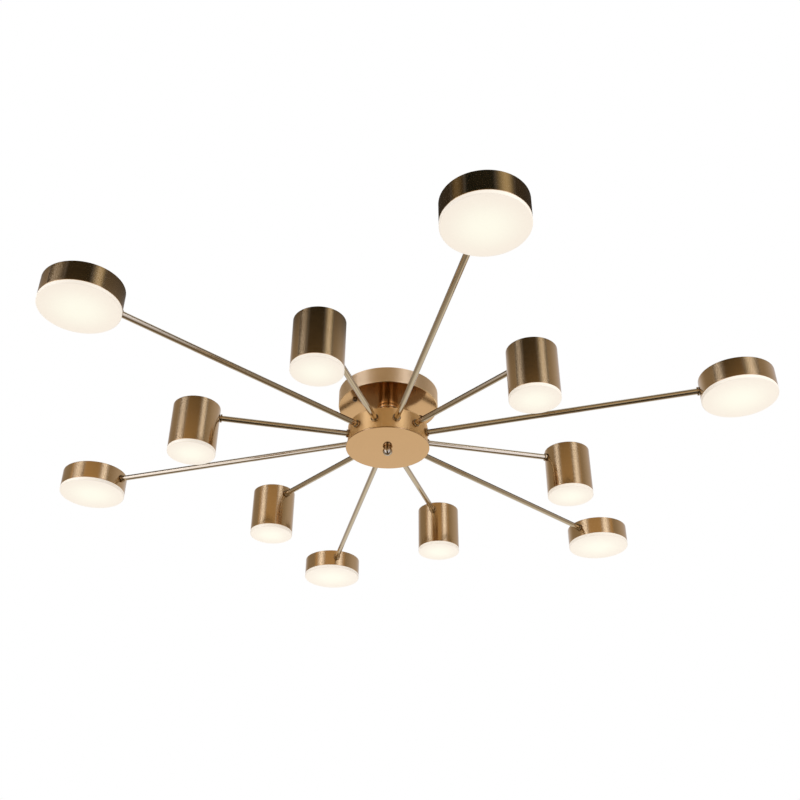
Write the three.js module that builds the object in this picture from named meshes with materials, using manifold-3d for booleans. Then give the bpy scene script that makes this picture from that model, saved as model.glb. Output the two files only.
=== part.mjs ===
// Semi-flush ceiling light with radial arms. Long arms carry flat disc heads, and the
// short arms between them carry cylinder heads. Each head is a metal shade with an LED
// board and an opal diffuser. Every arm runs into one round hub, which hangs on a hollow
// threaded rod and a short stem below a ceiling canopy.
//
// Millimetres, +Z up. The origin is the middle of the ceiling plane, so the whole light
// hangs below z = 0.

import * as THREE from 'three';
import { mergeVertices } from 'three/addons/utils/BufferGeometryUtils.js';
import Module from 'manifold-3d';

const wasm = await Module();
wasm.setup();

// ---------------------------------------------------------------- driving dimensions

const seatGap = 0.3; // between a piece and the face that it seats on
const fitGap = 0.3; // all round a shaft, spigot or thread in its hole
const cutterRoom = 1; // how far a cutter runs past the face that it opens

const canopyDiameter = 164;
const canopyHeight = 27;
const canopyWall = 1.2;
const canopyEdge = 2; // rounding of the lower edge

const crossbarWidth = 25;
const crossbarThickness = 2;
const crossbarEndRoom = 8; // from either end to the inside of the canopy
const slotLength = 26;
const slotWidth = 5;
const slotMiddle = 36; // from the centre of the bar to the middle of a slot

const screwDiameter = 4;
const screwHeadDiameter = 8;
const screwHeadHeight = 2.6;
const screwHeadEdge = 1.2;
const screwEdgeDistance = 12; // from the end of the crossbar to a canopy screw

const driverLength = 88;
const driverWidth = 32;
const driverHeight = 20;
const driverChamfer = 1.5;
const driverWallRoom = 1.5; // from the corners of the driver to the canopy wall
const terminalLength = 16; // lower end of the driver, with the screw terminals
const terminalHeight = 12;

const rodDiameter = 10;
const rodBore = 6;
const rodNutWidth = 17; // across the corners
const rodNutHeight = 5;

const stemDiameter = 32;
const stemWall = 1.5;
const stemLength = 38; // visible height between the canopy and the hub
const collarDiameter = 36; // seat ring between the stem and the canopy
const collarHeight = 5;
const collarFloor = 2;
const collarEdge = 1;

const hubDiameter = 130;
const hubHeight = 36;
const hubWall = 2;
const hubEdge = 1;
const armDrop = 19; // from the top of the hub down to the axis of the arms

const coverOverhang = 2.5; // the cover stands this far out past the hub
const coverThickness = 2;
const coverEdge = 0.5;

const finialDiameter = 16;
const finialHeight = 12;
const finialNeckDiameter = 13;
const finialNeckHeight = 1.5;
const finialShoulder = 1.5; // slope from the neck out to the belly
const finialDome = 5.4; // height of the rounded end
const finialWall = 4.7; // metal below the end of the rod's hole

const armPairs = 6; // long and short arms take turns round the hub
const longArmLength = 425; // between the hub wall and the wall of the disc head
const shortArmLength = 206;
const armDiameter = 9;
const armBore = 5;
const threadDiameter = 8;
const threadEnd = 1.5; // thread that stands out past its nut
const armCollarDiameter = 13;
const armCollarLength = 3;
const armNutWidth = 14; // across the corners
const armNutHeight = 4;

const armBelowHeadTop = 14; // from the top of a shade down to the axis of its arm
const shadeTop = 2;
const shadeWall = 1.5;
const discDiameter = 110;
const discHeight = 31;
const cylinderDiameter = 74;
const cylinderHeight = 77;
const ledgeWidth = 2; // step inside the cylinder shade that the LED board seats on
const ledgeAboveMouth = 14;

const diffuserDepth = 5.5; // visible below the shade
const diffuserEdge = 1.6;
const spigotHeight = 4; // part of the diffuser inside the shade

const boardThickness = 1.6;
const boardRimRoom = 6; // from the disc shade's wall to its LED board
const boardWireHole = 7;

// number of flats on each round piece
const canopySides = 36;
const hubSides = 36;
const discSides = 28;
const cylinderSides = 24;
const boardSides = 12;
const stemSides = 20;
const finialSides = 20;
const armSides = 8;
const screwSides = 8;
const smallHoleSides = 8;
const slotEndSides = 4;
const hexSides = 6;

// ---------------------------------------------------------------- dependent sizes

const canopyRadius = canopyDiameter / 2;
const canopyInside = canopyRadius - canopyWall;
const canopyBottom = -canopyHeight;
const canopyFloor = canopyBottom + canopyWall;

const armPitch = Math.PI / armPairs;
const crossbarTurn = armPitch / 2; // the crossbar lies midway between two arms
const crossbarLength = 2 * (canopyInside - crossbarEndRoom);
const screwOffset = crossbarLength / 2 - screwEdgeDistance;
const screwHole = screwDiameter + 2 * fitGap;
const rodHole = rodDiameter + 2 * fitGap;

const collarTop = canopyBottom - seatGap;
const stemTop = collarTop - collarFloor - seatGap;
const hubTop = canopyBottom - stemLength;
const hubBottom = hubTop - hubHeight;
const hubRadius = hubDiameter / 2;
const hubInside = hubRadius - hubWall;
const armHeight = hubTop - armDrop;

const coverTop = hubBottom - seatGap;
const coverBottom = coverTop - coverThickness;
const coverRadius = hubRadius + coverOverhang;
const finialTop = coverBottom - seatGap;
const finialBottom = finialTop - finialHeight;
const rodHoleEnd = finialBottom + finialWall;
const rodBottom = rodHoleEnd + seatGap;

const portHole = threadDiameter + 2 * fitGap;

// Measured from the axis of the arm, because a head hangs on its arm.
const discHead = {
  label: 'disc',
  armLabel: 'long_arm',
  radius: discDiameter / 2,
  height: discHeight,
  armLength: longArmLength,
  sides: discSides,
  ledge: 0,
};
const cylinderHead = {
  label: 'cylinder',
  armLabel: 'short_arm',
  radius: cylinderDiameter / 2,
  height: cylinderHeight,
  armLength: shortArmLength,
  sides: cylinderSides,
  ledge: ledgeWidth,
};

// ---------------------------------------------------------------- finishes

const finish = (color, roughness, metalness) =>
  new THREE.MeshStandardMaterial({ color, roughness, metalness, flatShading: true });

const antiqueBrass = finish(0x8f7248, 0.34, 1);
const satinBrass = finish(0xc89c68, 0.3, 1);
const champagneTube = finish(0xb09878, 0.26, 1);
const polishedNickel = finish(0xc8c0b2, 0.12, 1);
const zincSteel = finish(0xb4b6b8, 0.4, 1);
const opalAcrylic = finish(0xfff4e2, 0.35, 0);
const whiteBoard = finish(0xf2f2ee, 0.5, 0);
const whiteHousing = finish(0xe6e6e2, 0.55, 0);

// ---------------------------------------------------------------- shaping tools

/** A closed three.js geometry as a manifold-3d solid. */
function solidOf(geometry) {
  const bare = geometry.clone();
  bare.deleteAttribute('normal');
  bare.deleteAttribute('uv');
  const welded = mergeVertices(bare, 1e-4);
  const corners = [];
  for (let i = 0; i < welded.index.count; i += 3) {
    const triangle = [0, 1, 2].map((step) => welded.index.getX(i + step));
    if (new Set(triangle).size === 3) corners.push(...triangle);
  }
  const mesh = new wasm.Mesh({
    numProp: 3,
    vertProperties: Float32Array.from(welded.attributes.position.array),
    triVerts: Uint32Array.from(corners),
  });
  return new wasm.Manifold(mesh);
}

function geometryOf(solid) {
  const mesh = solid.getMesh();
  const geometry = new THREE.BufferGeometry();
  geometry.setAttribute('position', new THREE.BufferAttribute(mesh.vertProperties, 3));
  geometry.setIndex(new THREE.BufferAttribute(mesh.triVerts, 1));
  return geometry;
}

function cut(body, tools) {
  return geometryOf(tools.reduce((rest, tool) => rest.subtract(solidOf(tool)), solidOf(body)));
}

function join(parts) {
  return geometryOf(parts.map(solidOf).reduce((whole, part) => whole.add(part)));
}

/**
 * Turns an outline of [radius, height] points about Z. The outline runs anticlockwise,
 * up its outer side, and closes on itself or starts and ends on the axis.
 */
function turned(outline, sides) {
  const points = [...outline, outline[0]].map(([radius, height]) => new THREE.Vector2(radius, height));
  return new THREE.LatheGeometry(points, sides).rotateX(Math.PI / 2);
}

/** Round bar along Z between two heights, centred on x, y. */
function bar(diameter, low, high, sides, x = 0, y = 0) {
  const geometry = new THREE.CylinderGeometry(diameter / 2, diameter / 2, high - low, sides);
  return geometry.rotateX(Math.PI / 2).translate(x, y, (low + high) / 2);
}

/** Cutter for a round hole along Z: its flats lie at the stated diameter. */
function drill(diameter, low, high, sides, x = 0, y = 0) {
  return bar(diameter / Math.cos(Math.PI / sides), low, high, sides, x, y);
}

function alongX(geometry) {
  return geometry.rotateY(Math.PI / 2);
}

/** Slab of a flat outline in X and Y between two heights. */
function slab(shape, low, high, curveSegments = 1) {
  const options = { depth: high - low, bevelEnabled: false, curveSegments };
  return new THREE.ExtrudeGeometry(shape, options).translate(0, 0, low);
}

function rectangle(length, width) {
  const shape = new THREE.Shape();
  shape.moveTo(-length / 2, -width / 2);
  shape.lineTo(length / 2, -width / 2);
  shape.lineTo(length / 2, width / 2);
  shape.lineTo(-length / 2, width / 2);
  shape.closePath();
  return shape;
}

/** Distance from a round wall's axis to a flat face of a given width that seats inside it. */
function seatInside(wallRadius, faceWidth, sides) {
  const nearestFlat = wallRadius * Math.cos(Math.PI / sides);
  return Math.sqrt(nearestFlat ** 2 - (faceWidth / 2) ** 2) - seatGap;
}

const light = new THREE.Group();

function place(name, geometry, material, parent = light) {
  const mesh = new THREE.Mesh(geometry, material);
  mesh.name = name;
  parent.add(mesh);
  return mesh;
}

// ---------------------------------------------------------------- canopy

function canopyShell() {
  const corner = canopyEdge * (1 - Math.SQRT1_2);
  const cup = turned(
    [
      [rodHole / 2, canopyBottom],
      [canopyRadius - canopyEdge, canopyBottom],
      [canopyRadius - corner, canopyBottom + corner],
      [canopyRadius, canopyBottom + canopyEdge],
      [canopyRadius, 0],
      [canopyInside, 0],
      [canopyInside, canopyFloor],
      [rodHole / 2, canopyFloor],
    ],
    canopySides,
  );
  const low = canopyBottom - cutterRoom;
  const high = canopyFloor + cutterRoom;
  const holes = [-1, 1].map((side) => {
    const hole = drill(screwHole, low, high, smallHoleSides, side * screwOffset);
    return hole.rotateZ(crossbarTurn);
  });
  return cut(cup, holes);
}

function mountingCrossbar() {
  const plate = slab(rectangle(crossbarLength, crossbarWidth), -crossbarThickness, 0);
  const low = -crossbarThickness - cutterRoom;
  const slot = new THREE.Shape();
  const straight = (slotLength - slotWidth) / 2;
  slot.absarc(straight, 0, slotWidth / 2, -Math.PI / 2, Math.PI / 2, false);
  slot.absarc(-straight, 0, slotWidth / 2, Math.PI / 2, (3 * Math.PI) / 2, false);
  slot.closePath();
  const cuts = [drill(rodHole, low, cutterRoom, smallHoleSides)];
  for (const side of [-1, 1]) {
    cuts.push(drill(screwHole, low, cutterRoom, smallHoleSides, side * screwOffset));
    cuts.push(slab(slot, low, cutterRoom, slotEndSides).translate(side * slotMiddle, 0, 0));
  }
  return cut(plate, cuts);
}

/** Pan-head screw that comes up through the canopy floor into the crossbar. */
function canopyScrew() {
  const seat = canopyBottom - seatGap;
  const bottom = seat - screwHeadHeight;
  const rim = screwHeadDiameter / 2;
  const shank = screwDiameter / 2;
  return turned(
    [
      [0, bottom],
      [rim - screwHeadEdge, bottom],
      [rim, bottom + screwHeadEdge],
      [rim, seat],
      [shank, seat],
      [shank, 0],
      [0, 0],
    ],
    screwSides,
  );
}

/** Driver box, seen from the side as a tall case with a lower end for the terminals. */
function ledDriver() {
  const half = driverLength / 2;
  const caseEnd = half - terminalLength;
  const side = new THREE.Shape();
  side.moveTo(-half, 0);
  side.lineTo(half, 0);
  side.lineTo(half, terminalHeight);
  side.lineTo(caseEnd, terminalHeight);
  side.lineTo(caseEnd, driverHeight - driverChamfer);
  side.lineTo(caseEnd - driverChamfer, driverHeight);
  side.lineTo(-half + driverChamfer, driverHeight);
  side.lineTo(-half, driverHeight - driverChamfer);
  side.closePath();
  const body = slab(side, 0, driverWidth).rotateX(Math.PI / 2);
  const cornerReach = canopyInside * Math.cos(Math.PI / canopySides) - driverWallRoom;
  const outerEdge = Math.sqrt(cornerReach ** 2 - half ** 2);
  return body.translate(0, outerEdge, canopyFloor + seatGap);
}

// ---------------------------------------------------------------- stem and rod

function stemTube() {
  const outer = stemDiameter / 2;
  const inner = outer - stemWall;
  return turned(
    [
      [inner, hubTop + seatGap],
      [outer, hubTop + seatGap],
      [outer, stemTop],
      [inner, stemTop],
    ],
    stemSides,
  );
}

/** Ring that centres the stem on the canopy. The end of the stem sits in its recess. */
function stemCollar() {
  const bottom = collarTop - collarHeight;
  const outer = collarDiameter / 2;
  const recess = stemDiameter / 2 + fitGap;
  const floor = collarTop - collarFloor;
  return turned(
    [
      [recess, bottom],
      [outer - collarEdge, bottom],
      [outer, bottom + collarEdge],
      [outer, collarTop - collarEdge],
      [outer - collarEdge, collarTop],
      [rodHole / 2, collarTop],
      [rodHole / 2, floor],
      [recess, floor],
    ],
    stemSides,
  );
}

/** Hollow threaded rod from the crossbar to the finial, with its lock nut on the crossbar. */
function centreRod() {
  const nutTop = -crossbarThickness - seatGap;
  const outside = join([
    bar(rodDiameter, rodBottom, 0, armSides),
    bar(rodNutWidth, nutTop - rodNutHeight, nutTop, hexSides),
  ]);
  return cut(outside, [drill(rodBore, rodBottom - cutterRoom, cutterRoom, smallHoleSides)]);
}

/** Nut that holds the hub up against the stem. */
function hubLockNut() {
  const top = hubTop - hubWall - seatGap;
  const bottom = top - rodNutHeight;
  const hexagon = bar(rodNutWidth, bottom, top, hexSides);
  return cut(hexagon, [drill(rodHole, bottom - cutterRoom, top + cutterRoom, smallHoleSides)]);
}

// ---------------------------------------------------------------- hub

function hubDrum() {
  const cup = turned(
    [
      [hubInside, hubBottom],
      [hubRadius, hubBottom],
      [hubRadius, hubTop - hubEdge],
      [hubRadius - hubEdge, hubTop],
      [rodHole / 2, hubTop],
      [rodHole / 2, hubTop - hubWall],
      [hubInside, hubTop - hubWall],
    ],
    hubSides,
  );
  const ports = [];
  for (let arm = 0; arm < 2 * armPairs; arm += 1) {
    const port = alongX(drill(portHole, hubInside - cutterRoom, hubRadius + cutterRoom, armSides));
    ports.push(port.translate(0, 0, armHeight).rotateZ(arm * armPitch));
  }
  return cut(cup, ports);
}

function hubCover() {
  return turned(
    [
      [rodHole / 2, coverBottom],
      [coverRadius - coverEdge, coverBottom],
      [coverRadius, coverBottom + coverEdge],
      [coverRadius, coverTop],
      [rodHole / 2, coverTop],
    ],
    hubSides,
  );
}

/** Round cap nut: a narrow neck at the cover, a full belly and a domed end. */
function finialNut() {
  const belly = finialDiameter / 2;
  const neck = finialNeckDiameter / 2;
  const neckBottom = finialTop - finialNeckHeight;
  const domeTop = finialBottom + finialDome;
  const domePoint = (angle) => [belly * Math.cos(angle), domeTop - finialDome * Math.sin(angle)];
  return turned(
    [
      [0, finialBottom],
      domePoint(Math.PI / 3),
      domePoint(Math.PI / 6),
      [belly, domeTop],
      [belly, neckBottom - finialShoulder],
      [neck, neckBottom],
      [neck, finialTop],
      [rodHole / 2, finialTop],
      [rodHole / 2, rodHoleEnd],
      [0, rodHoleEnd],
    ],
    finialSides,
  );
}

// ---------------------------------------------------------------- arms and heads

/**
 * Arm tube along X, measured from the middle of the hub. A collar seats on the hub wall
 * and another on the shade. The threaded end beyond each collar passes through the wall
 * and carries a lock nut on the inside.
 */
function armTube(head) {
  const headWall = hubRadius + head.armLength;
  const headCentre = headWall + head.radius;
  const hubFace = hubRadius + seatGap;
  const headFace = headWall - seatGap;
  const shadeInside = head.radius - shadeWall - head.ledge;
  const hubNutFace = seatInside(hubInside, armNutWidth, hubSides);
  const headNutFace = headCentre - seatInside(shadeInside, armNutWidth, head.sides);
  const start = hubNutFace - armNutHeight - threadEnd;
  const end = headNutFace + armNutHeight + threadEnd;
  const outline = [
    [0, start],
    [threadDiameter / 2, start],
    [threadDiameter / 2, hubFace],
    [armCollarDiameter / 2, hubFace],
    [armCollarDiameter / 2, hubFace + armCollarLength],
    [armDiameter / 2, hubFace + armCollarLength],
    [armDiameter / 2, headFace - armCollarLength],
    [armCollarDiameter / 2, headFace - armCollarLength],
    [armCollarDiameter / 2, headFace],
    [threadDiameter / 2, headFace],
    [threadDiameter / 2, end],
    [0, end],
  ];
  const outside = join([
    alongX(turned(outline, armSides)),
    alongX(bar(armNutWidth, hubNutFace - armNutHeight, hubNutFace, hexSides)),
    alongX(bar(armNutWidth, headNutFace, headNutFace + armNutHeight, hexSides)),
  ]);
  return cut(outside, [alongX(drill(armBore, start - cutterRoom, end + cutterRoom, smallHoleSides))]);
}

/** Cup that opens downwards, with a hole in its wall for the end of the arm. */
function shade(head) {
  const top = armBelowHeadTop;
  const ceiling = top - shadeTop;
  const mouth = top - head.height;
  const mouthInside = head.radius - shadeWall;
  const upperInside = mouthInside - head.ledge;
  const step = mouth + ledgeAboveMouth;
  const inside = [
    [0, ceiling],
    [upperInside, ceiling],
  ];
  if (head.ledge > 0) inside.push([upperInside, step], [mouthInside, step]);
  inside.push([mouthInside, mouth]);
  const outside = [
    [head.radius, mouth],
    [head.radius, top],
    [0, top],
  ];
  const port = alongX(drill(portHole, -head.radius - cutterRoom, -upperInside / 2, armSides));
  return cut(turned([...inside, ...outside], head.sides), [port]);
}

/** Opal block: the visible rim is flush with the shade and a spigot fits inside it. */
function diffuser(head) {
  const rimTop = armBelowHeadTop - head.height - seatGap;
  const bottom = rimTop - diffuserDepth;
  const spigot = head.radius - shadeWall - fitGap;
  return turned(
    [
      [0, bottom],
      [head.radius - diffuserEdge, bottom],
      [head.radius, bottom + diffuserEdge],
      [head.radius, rimTop],
      [spigot, rimTop],
      [spigot, rimTop + spigotHeight],
      [0, rimTop + spigotHeight],
    ],
    head.sides,
  );
}

/** LED board, screwed under the roof of a disc shade or under the ledge of a cylinder shade. */
function ledBoard(head) {
  const onLedge = head.ledge > 0;
  const seat = onLedge ? armBelowHeadTop - head.height + ledgeAboveMouth : armBelowHeadTop - shadeTop;
  const inside = head.radius - shadeWall;
  const room = onLedge ? fitGap : boardRimRoom;
  const radius = (inside - room) * Math.cos(Math.PI / head.sides);
  const top = seat - seatGap;
  return turned(
    [
      [boardWireHole / 2, top - boardThickness],
      [radius, top - boardThickness],
      [radius, top],
      [boardWireHole / 2, top],
    ],
    boardSides,
  );
}

// ---------------------------------------------------------------- assembly

place('canopy', canopyShell(), satinBrass);

const crossbarGroup = new THREE.Group();
crossbarGroup.rotation.z = crossbarTurn;
light.add(crossbarGroup);
place('mounting_crossbar', mountingCrossbar(), zincSteel, crossbarGroup);
place('led_driver', ledDriver(), whiteHousing, crossbarGroup);
place('canopy_screw_left', canopyScrew(), antiqueBrass, crossbarGroup).position.x = -screwOffset;
place('canopy_screw_right', canopyScrew(), antiqueBrass, crossbarGroup).position.x = screwOffset;

place('stem_collar', stemCollar(), satinBrass);
place('stem_tube', stemTube(), satinBrass);
place('centre_rod', centreRod(), zincSteel);
place('hub_drum', hubDrum(), satinBrass);
place('hub_lock_nut', hubLockNut(), zincSteel);
place('hub_cover', hubCover(), satinBrass);
place('finial_nut', finialNut(), polishedNickel);

/** One arm with its head: the group is turned to the arm's direction. */
function addSpoke(head, number, angle) {
  const spoke = new THREE.Group();
  spoke.rotation.z = angle;
  spoke.position.z = armHeight;
  light.add(spoke);
  place(`${head.armLabel}_${number}`, armTube(head), champagneTube, spoke);

  const hanging = new THREE.Group();
  hanging.position.x = hubRadius + head.armLength + head.radius;
  spoke.add(hanging);
  place(`${head.label}_shade_${number}`, shade(head), antiqueBrass, hanging);
  place(`${head.label}_led_board_${number}`, ledBoard(head), whiteBoard, hanging);
  place(`${head.label}_diffuser_${number}`, diffuser(head), opalAcrylic, hanging);
}

// The first long arm points along -Y.
for (let pair = 0; pair < armPairs; pair += 1) {
  const angle = -Math.PI / 2 + 2 * pair * armPitch;
  addSpoke(discHead, pair + 1, angle);
  addSpoke(cylinderHead, pair + 1, angle + armPitch);
}

export default light;
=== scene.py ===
"""Semi-flush ceiling light with radial arms, finished in Blender round its packed CAD model.

The file is laid out as an add-on: property groups hold the sizes and colours, and one operator
makes each kind of piece. Lengths are metres and the frame is that of the CAD model.
"""
import math

import bmesh
import bpy
from bpy.props import FloatProperty, FloatVectorProperty, PointerProperty
from mathutils import Matrix, Vector


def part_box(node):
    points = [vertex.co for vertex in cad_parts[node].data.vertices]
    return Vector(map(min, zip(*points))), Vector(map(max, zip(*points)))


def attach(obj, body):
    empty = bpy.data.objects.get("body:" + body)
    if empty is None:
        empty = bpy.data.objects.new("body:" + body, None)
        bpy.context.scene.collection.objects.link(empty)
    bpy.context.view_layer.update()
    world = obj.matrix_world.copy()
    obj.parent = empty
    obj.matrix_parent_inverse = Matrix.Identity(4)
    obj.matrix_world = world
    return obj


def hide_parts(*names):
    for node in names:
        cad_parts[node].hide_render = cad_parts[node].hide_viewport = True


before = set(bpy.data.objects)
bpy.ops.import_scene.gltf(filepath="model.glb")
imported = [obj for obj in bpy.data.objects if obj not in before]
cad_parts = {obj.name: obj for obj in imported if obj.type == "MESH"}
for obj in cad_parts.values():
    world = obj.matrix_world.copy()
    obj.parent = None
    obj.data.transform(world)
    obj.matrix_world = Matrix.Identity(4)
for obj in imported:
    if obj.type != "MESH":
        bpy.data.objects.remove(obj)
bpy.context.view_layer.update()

bl_info = {
    "name": "Radial arm ceiling light",
    "version": (1, 0, 0),
    "blender": (4, 5, 0),
    "location": "3D View > Sidebar > Ceiling Light",
    "description": "Makes the shown pieces of a ceiling light with radial arms",
    "category": "Object",
}

ARM_COUNT = 6  # of each length
MM = 0.001

# Roundings of turned edges, from nearly sharp to soft
CRISP, FINE, EASED, SOFT = 0.2 * MM, 0.3 * MM, 0.5 * MM, 1.0 * MM


def middle(node):
    low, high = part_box(node)
    return (low + high) / 2


def half_width(node):
    low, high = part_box(node)
    return (high.x - low.x) / 2


def round_box(node):
    """Radius, bottom and top of a round piece."""
    low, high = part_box(node)
    return half_width(node), low.z, high.z


# ---- sizes and colours


def length(name, description, millimetres):
    return FloatProperty(
        name=name, description=description, default=millimetres * MM, min=0.0, precision=4, unit="LENGTH"
    )


def colour(name, description, *parts, most=1.0):
    return FloatVectorProperty(
        name=name, description=description, default=parts, min=0.0, max=most, size=3, subtype="COLOR"
    )


def share(name, description, default, most=1.0):
    return FloatProperty(
        name=name, description=description, default=default, min=0.0, max=most, subtype="FACTOR"
    )


def power(name, description, watts):
    return FloatProperty(name=name, description=description, default=watts, min=0.0, unit="POWER")


class BodySizes(bpy.types.PropertyGroup):
    """Canopy, stem and hub."""

    canopy_wall: length("Canopy wall", "Thickness of the canopy's sheet", 1.2)
    canopy_edge: length("Canopy edge", "Rounding of the canopy's lower edge", 2.0)
    screw_hole: length("Screw hole", "Width of the canopy's holes for its screws", 4.8)
    screw_head: length("Screw head", "Diameter of the head of a canopy screw", 8.0)
    screw_head_height: length("Screw head height", "Height of the head of a canopy screw", 2.6)
    screw_crown: length("Screw crown", "Rounding of the head of a canopy screw", 1.2)
    screw_shank: length("Screw shank", "Diameter of the shank of a canopy screw", 4.0)
    screw_offset: length("Screw offset", "From the middle of the canopy to a canopy screw", 60.8)
    rod_hole: length("Rod hole", "Diameter of the holes that the centre rod passes through", 10.6)
    stem_wall: length("Stem wall", "Thickness of the stem tube", 1.5)
    collar_floor: length("Stem collar floor", "Metal above the stem in the stem collar", 2.0)
    collar_recess: length("Stem collar recess", "Diameter of the recess that the stem sits in", 32.6)
    hub_wall: length("Hub wall", "Thickness of the hub drum", 2.0)
    port: length("Port width", "Width of the ports in the hub and the shades", 8.8)
    finial_neck: length("Finial neck", "Diameter of the finial where it seats on the cover", 13.0)
    finial_neck_height: length("Finial neck height", "Height of the finial's neck", 1.5)
    finial_shoulder: length("Finial shoulder", "From the finial's widest part to its seat", 3.0)
    finial_dome: length("Finial dome", "Height of the rounded end of the finial", 8.0)
    finial_end: length("Finial end", "Metal below the end of the rod", 4.7)


class ArmSizes(bpy.types.PropertyGroup):
    """Tubes between the hub and the heads."""

    tube: length("Tube", "Outer diameter of an arm", 9.0)
    bore: length("Bore", "Inner diameter of an arm", 5.0)
    thread: length("Thread", "Diameter of the threaded ends", 8.0)
    collar: length("Collar", "Diameter of the collars at both ends of an arm", 13.0)
    collar_length: length("Collar length", "Length of a collar along its arm", 3.0)
    edge: length("Arm edge", "Rounding of the collars, the nuts and the threaded ends", 0.4)
    seat_gap: length("Seat gap", "Between a collar and the wall that it seats on", 0.3)
    nut: length("Nut", "Width of an arm's lock nut across its corners", 14.0)
    nut_height: length("Nut height", "Height of an arm's lock nut", 4.0)
    nut_gap: length("Nut gap", "Between a thread and the flats of its lock nut", 0.1)
    thread_end: length("Thread end", "Thread that stands out past its nut", 1.5)


class HeadSizes(bpy.types.PropertyGroup):
    """Shades and diffusers."""

    shade_roof: length("Shade roof", "Thickness of the top of a shade", 2.0)
    shade_wall: length("Shade wall", "Thickness of the wall of a shade", 1.5)
    shade_edge: length("Shade edge", "Rounding of the edges of a shade", 0.5)
    ledge_width: length("Ledge width", "Step inside the cylinder shade", 2.0)
    ledge_height: length("Ledge height", "From the mouth of the cylinder shade to its step", 14.0)
    diffuser_edge: length("Diffuser edge", "Rounding of the lower edge of a diffuser", 1.6)
    spigot_gap: length("Spigot gap", "Between a diffuser's spigot and its shade", 0.3)
    spigot_height: length("Spigot height", "Part of a diffuser inside its shade", 4.0)


class Finishes(bpy.types.PropertyGroup):
    """Colours of the finishes and how glossy they are."""

    satin_brass: colour("Satin brass", "Faces of the canopy and the hub's cover", 0.60, 0.365, 0.165)
    # Painted light: the canopy and hub walls take paler copies of the satin brass, for the light that the
    # walls catch.
    lit_wall_brass: colour("Wall brass", "Pale brushed brass of the wall of the canopy", 0.82, 0.60, 0.35)
    lit_hub_brass: colour("Hub brass", "Golden brushed brass of the wall of the hub", 0.90, 0.57, 0.235)
    # Painted shade: the hub's roof, in the gap under the canopy, takes a much darker copy of the brass.
    roof_brass: colour("Roof brass", "Dull roof of the hub", 0.34, 0.24, 0.14)
    stem_brass: colour("Stem brass", "Polished stem and its collar", 0.76, 0.52, 0.28)
    shade_brass: colour("Shade brass", "Darker brass of the shades", 0.53, 0.365, 0.185)
    arm_brass: colour("Arm brass", "Champagne tone of the arms", 0.55, 0.45, 0.305)
    # Painted shade: the collars take a darker copy of the arm brass, for the shade where the arms meet the
    # hub and the heads.
    shaded_collar_brass: colour("Collar brass", "Darker collars and lock nuts of the arms", 0.34, 0.24, 0.125)
    nickel: colour("Nickel", "Polished finial", 0.50, 0.42, 0.31)
    # Painted shade: the canopy screws are near black, for the shade they sit in under the canopy.
    screw: colour("Screw", "Aged brass of the canopy screws", 0.16, 0.10, 0.05)
    zinc: colour("Zinc", "Plated steel inside the light", 0.52, 0.53, 0.55)
    opal: colour("Opal", "Acrylic of the diffusers", 0.78, 0.745, 0.665)
    glow: colour("Glow", "Light from the middle of a diffuser", 0.52, 0.515, 0.43)
    glow_rim: colour("Glow at the rim", "Light from the rim of a diffuser", 0.46, 0.40, 0.34)
    glow_side: colour("Glow of the side", "Light from the side of a diffuser", 0.30, 0.25, 0.21)
    board: colour("Board", "White coating of the LED boards", 0.86, 0.86, 0.82)
    housing: colour("Housing", "Plastic case of the driver", 0.74, 0.74, 0.71)
    wall_roughness: share("Wall roughness", "Brushed walls of the canopy and the hub", 0.49)
    face_roughness: share("Face roughness", "Polished cover and stem. The canopy and hub roof follow", 0.09)
    shade_roughness: share("Shade roughness", "Brushed walls of the shades", 0.16)
    shade_top_roughness: share("Shade top roughness", "Matt tops of the shades", 0.62)
    arm_roughness: share("Arm roughness", "Drawn tube of the arms", 0.14)


class Studio(bpy.types.PropertyGroup):
    """Floor, lamps, cloths and camera."""

    floor_depth: length("Floor depth", "From the ceiling plane down to the floor", 1900.0)
    floor: colour("Floor", "Pale floor below the light", 0.86, 0.85, 0.84)
    room_level: share("Room level", "Strength of the even light of the room", 0.62, 2.0)
    right_lamp: power("Right lamp", "Power of the right soft lamp", 12.0)
    left_lamp: power("Left lamp", "Power of the left soft lamp", 10.0)
    opening: colour("Opening", "Dark opening of the tent behind the camera", 0.008, 0.012, 0.012)
    right_panel: colour("Right panel", "Light of the right panel", 3.10, 3.50, 4.90, most=10.0)
    right_slats: colour("Right slats", "Light of the right slats", 1.00, 0.92, 0.72, most=10.0)
    left_panel: colour("Left panel", "Light of the left panel", 4.15, 4.65, 6.30, most=10.0)
    left_slats: colour("Left slats", "Light of the left slats", 0.42, 0.34, 0.21, most=10.0)
    lens: FloatProperty(name="Lens", description="Focal length in millimetres", default=45.24, unit="CAMERA")


SETTINGS = {
    "light_body": BodySizes,
    "light_arms": ArmSizes,
    "light_heads": HeadSizes,
    "light_finishes": Finishes,
    "light_studio": Studio,
}


# ---- shaping


def turn(outline, segments):
    """Corners of (radius, height), and a rounding where there is one, turned full circle about Z.
    The outline closes on itself, or starts and ends on the axis."""
    shape = bmesh.new()
    corners = [shape.verts.new((radius, 0, height)) for radius, height, *_ in outline]
    for start, end in zip(corners, corners[1:]):
        shape.edges.new((start, end))
    if outline[0][0] > 0:
        shape.edges.new((corners[-1], corners[0]))
    profile = list(shape.verts) + list(shape.edges)
    middle_axis = {"cent": (0, 0, 0), "axis": (0, 0, 1)}
    bmesh.ops.spin(shape, geom=profile, angle=math.tau, steps=segments, use_merge=True, **middle_axis)
    bmesh.ops.remove_doubles(shape, verts=shape.verts, dist=1e-6)
    bmesh.ops.recalc_face_normals(shape, faces=shape.faces)
    for radius, height, *rounding in outline:
        if any(rounding):
            round_ring(shape, radius, height, *rounding)
    return shape


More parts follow.
